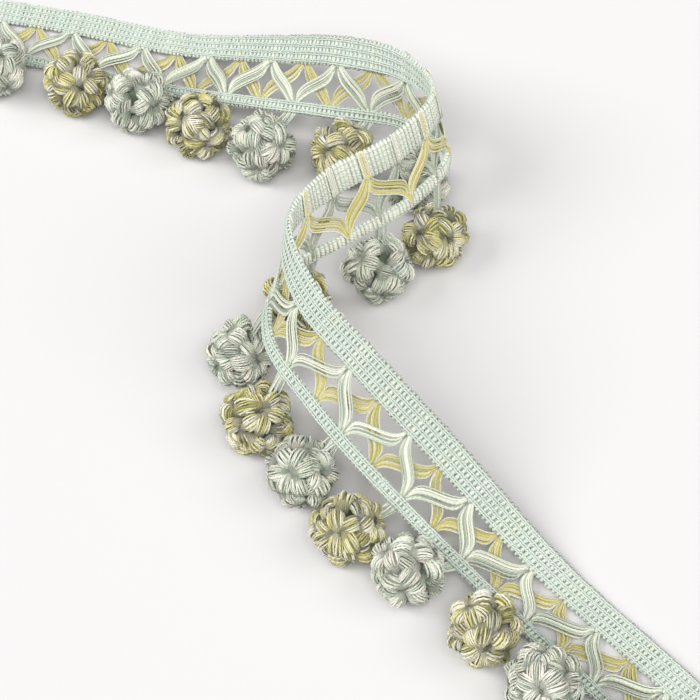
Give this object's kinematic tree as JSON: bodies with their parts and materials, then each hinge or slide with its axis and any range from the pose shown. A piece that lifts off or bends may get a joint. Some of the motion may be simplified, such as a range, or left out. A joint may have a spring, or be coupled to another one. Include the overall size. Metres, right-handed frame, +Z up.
{
  "type": "pompom fringe trim",
  "caption": "Cut length of woven braid with an open trellis of crossing yarn bundles and looped-yarn pompoms tied along its lower edge, laid in a standing S curve.",
  "frame": {"origin": "on the table the trim lies on, under the middle of its bounding box", "axes": "+Z up from the table, +Y the way the laid trim is longest, +X across it"},
  "size_m": [0.2544, 0.3134, 0.0524],
  "materials": {
    "mint": "soft matt yarn",
    "sage": "soft matt yarn",
    "olive": "soft matt yarn"
  },
  "bodies": {
    "root": {"heading": "mint", "lower_braid": "mint", "trellis_sage": "sage", "trellis_olive": "olive", "pompom_01": "sage", "tie_01": "mint", "pompom_02": "olive", "tie_02": "mint", "pompom_03": "sage", "tie_03": "mint", "pompom_04": "olive", "tie_04": "mint", "pompom_05": "sage", "tie_05": "mint", "pompom_06": "olive", "tie_06": "mint", "pompom_07": "sage", "tie_07": "mint", "pompom_08": "olive", "tie_08": "mint", "pompom_09": "sage", "tie_09": "mint", "pompom_10": "olive", "tie_10": "mint", "pompom_11": "sage", "tie_11": "mint", "pompom_12": "olive", "tie_12": "mint", "pompom_13": "sage", "tie_13": "mint", "pompom_14": "olive", "tie_14": "mint", "pompom_15": "sage", "tie_15": "mint", "pompom_16": "olive", "tie_16": "mint", "pompom_17": "sage", "tie_17": "mint", "pompom_18": "olive", "tie_18": "mint"}
  },
  "joints": []
}
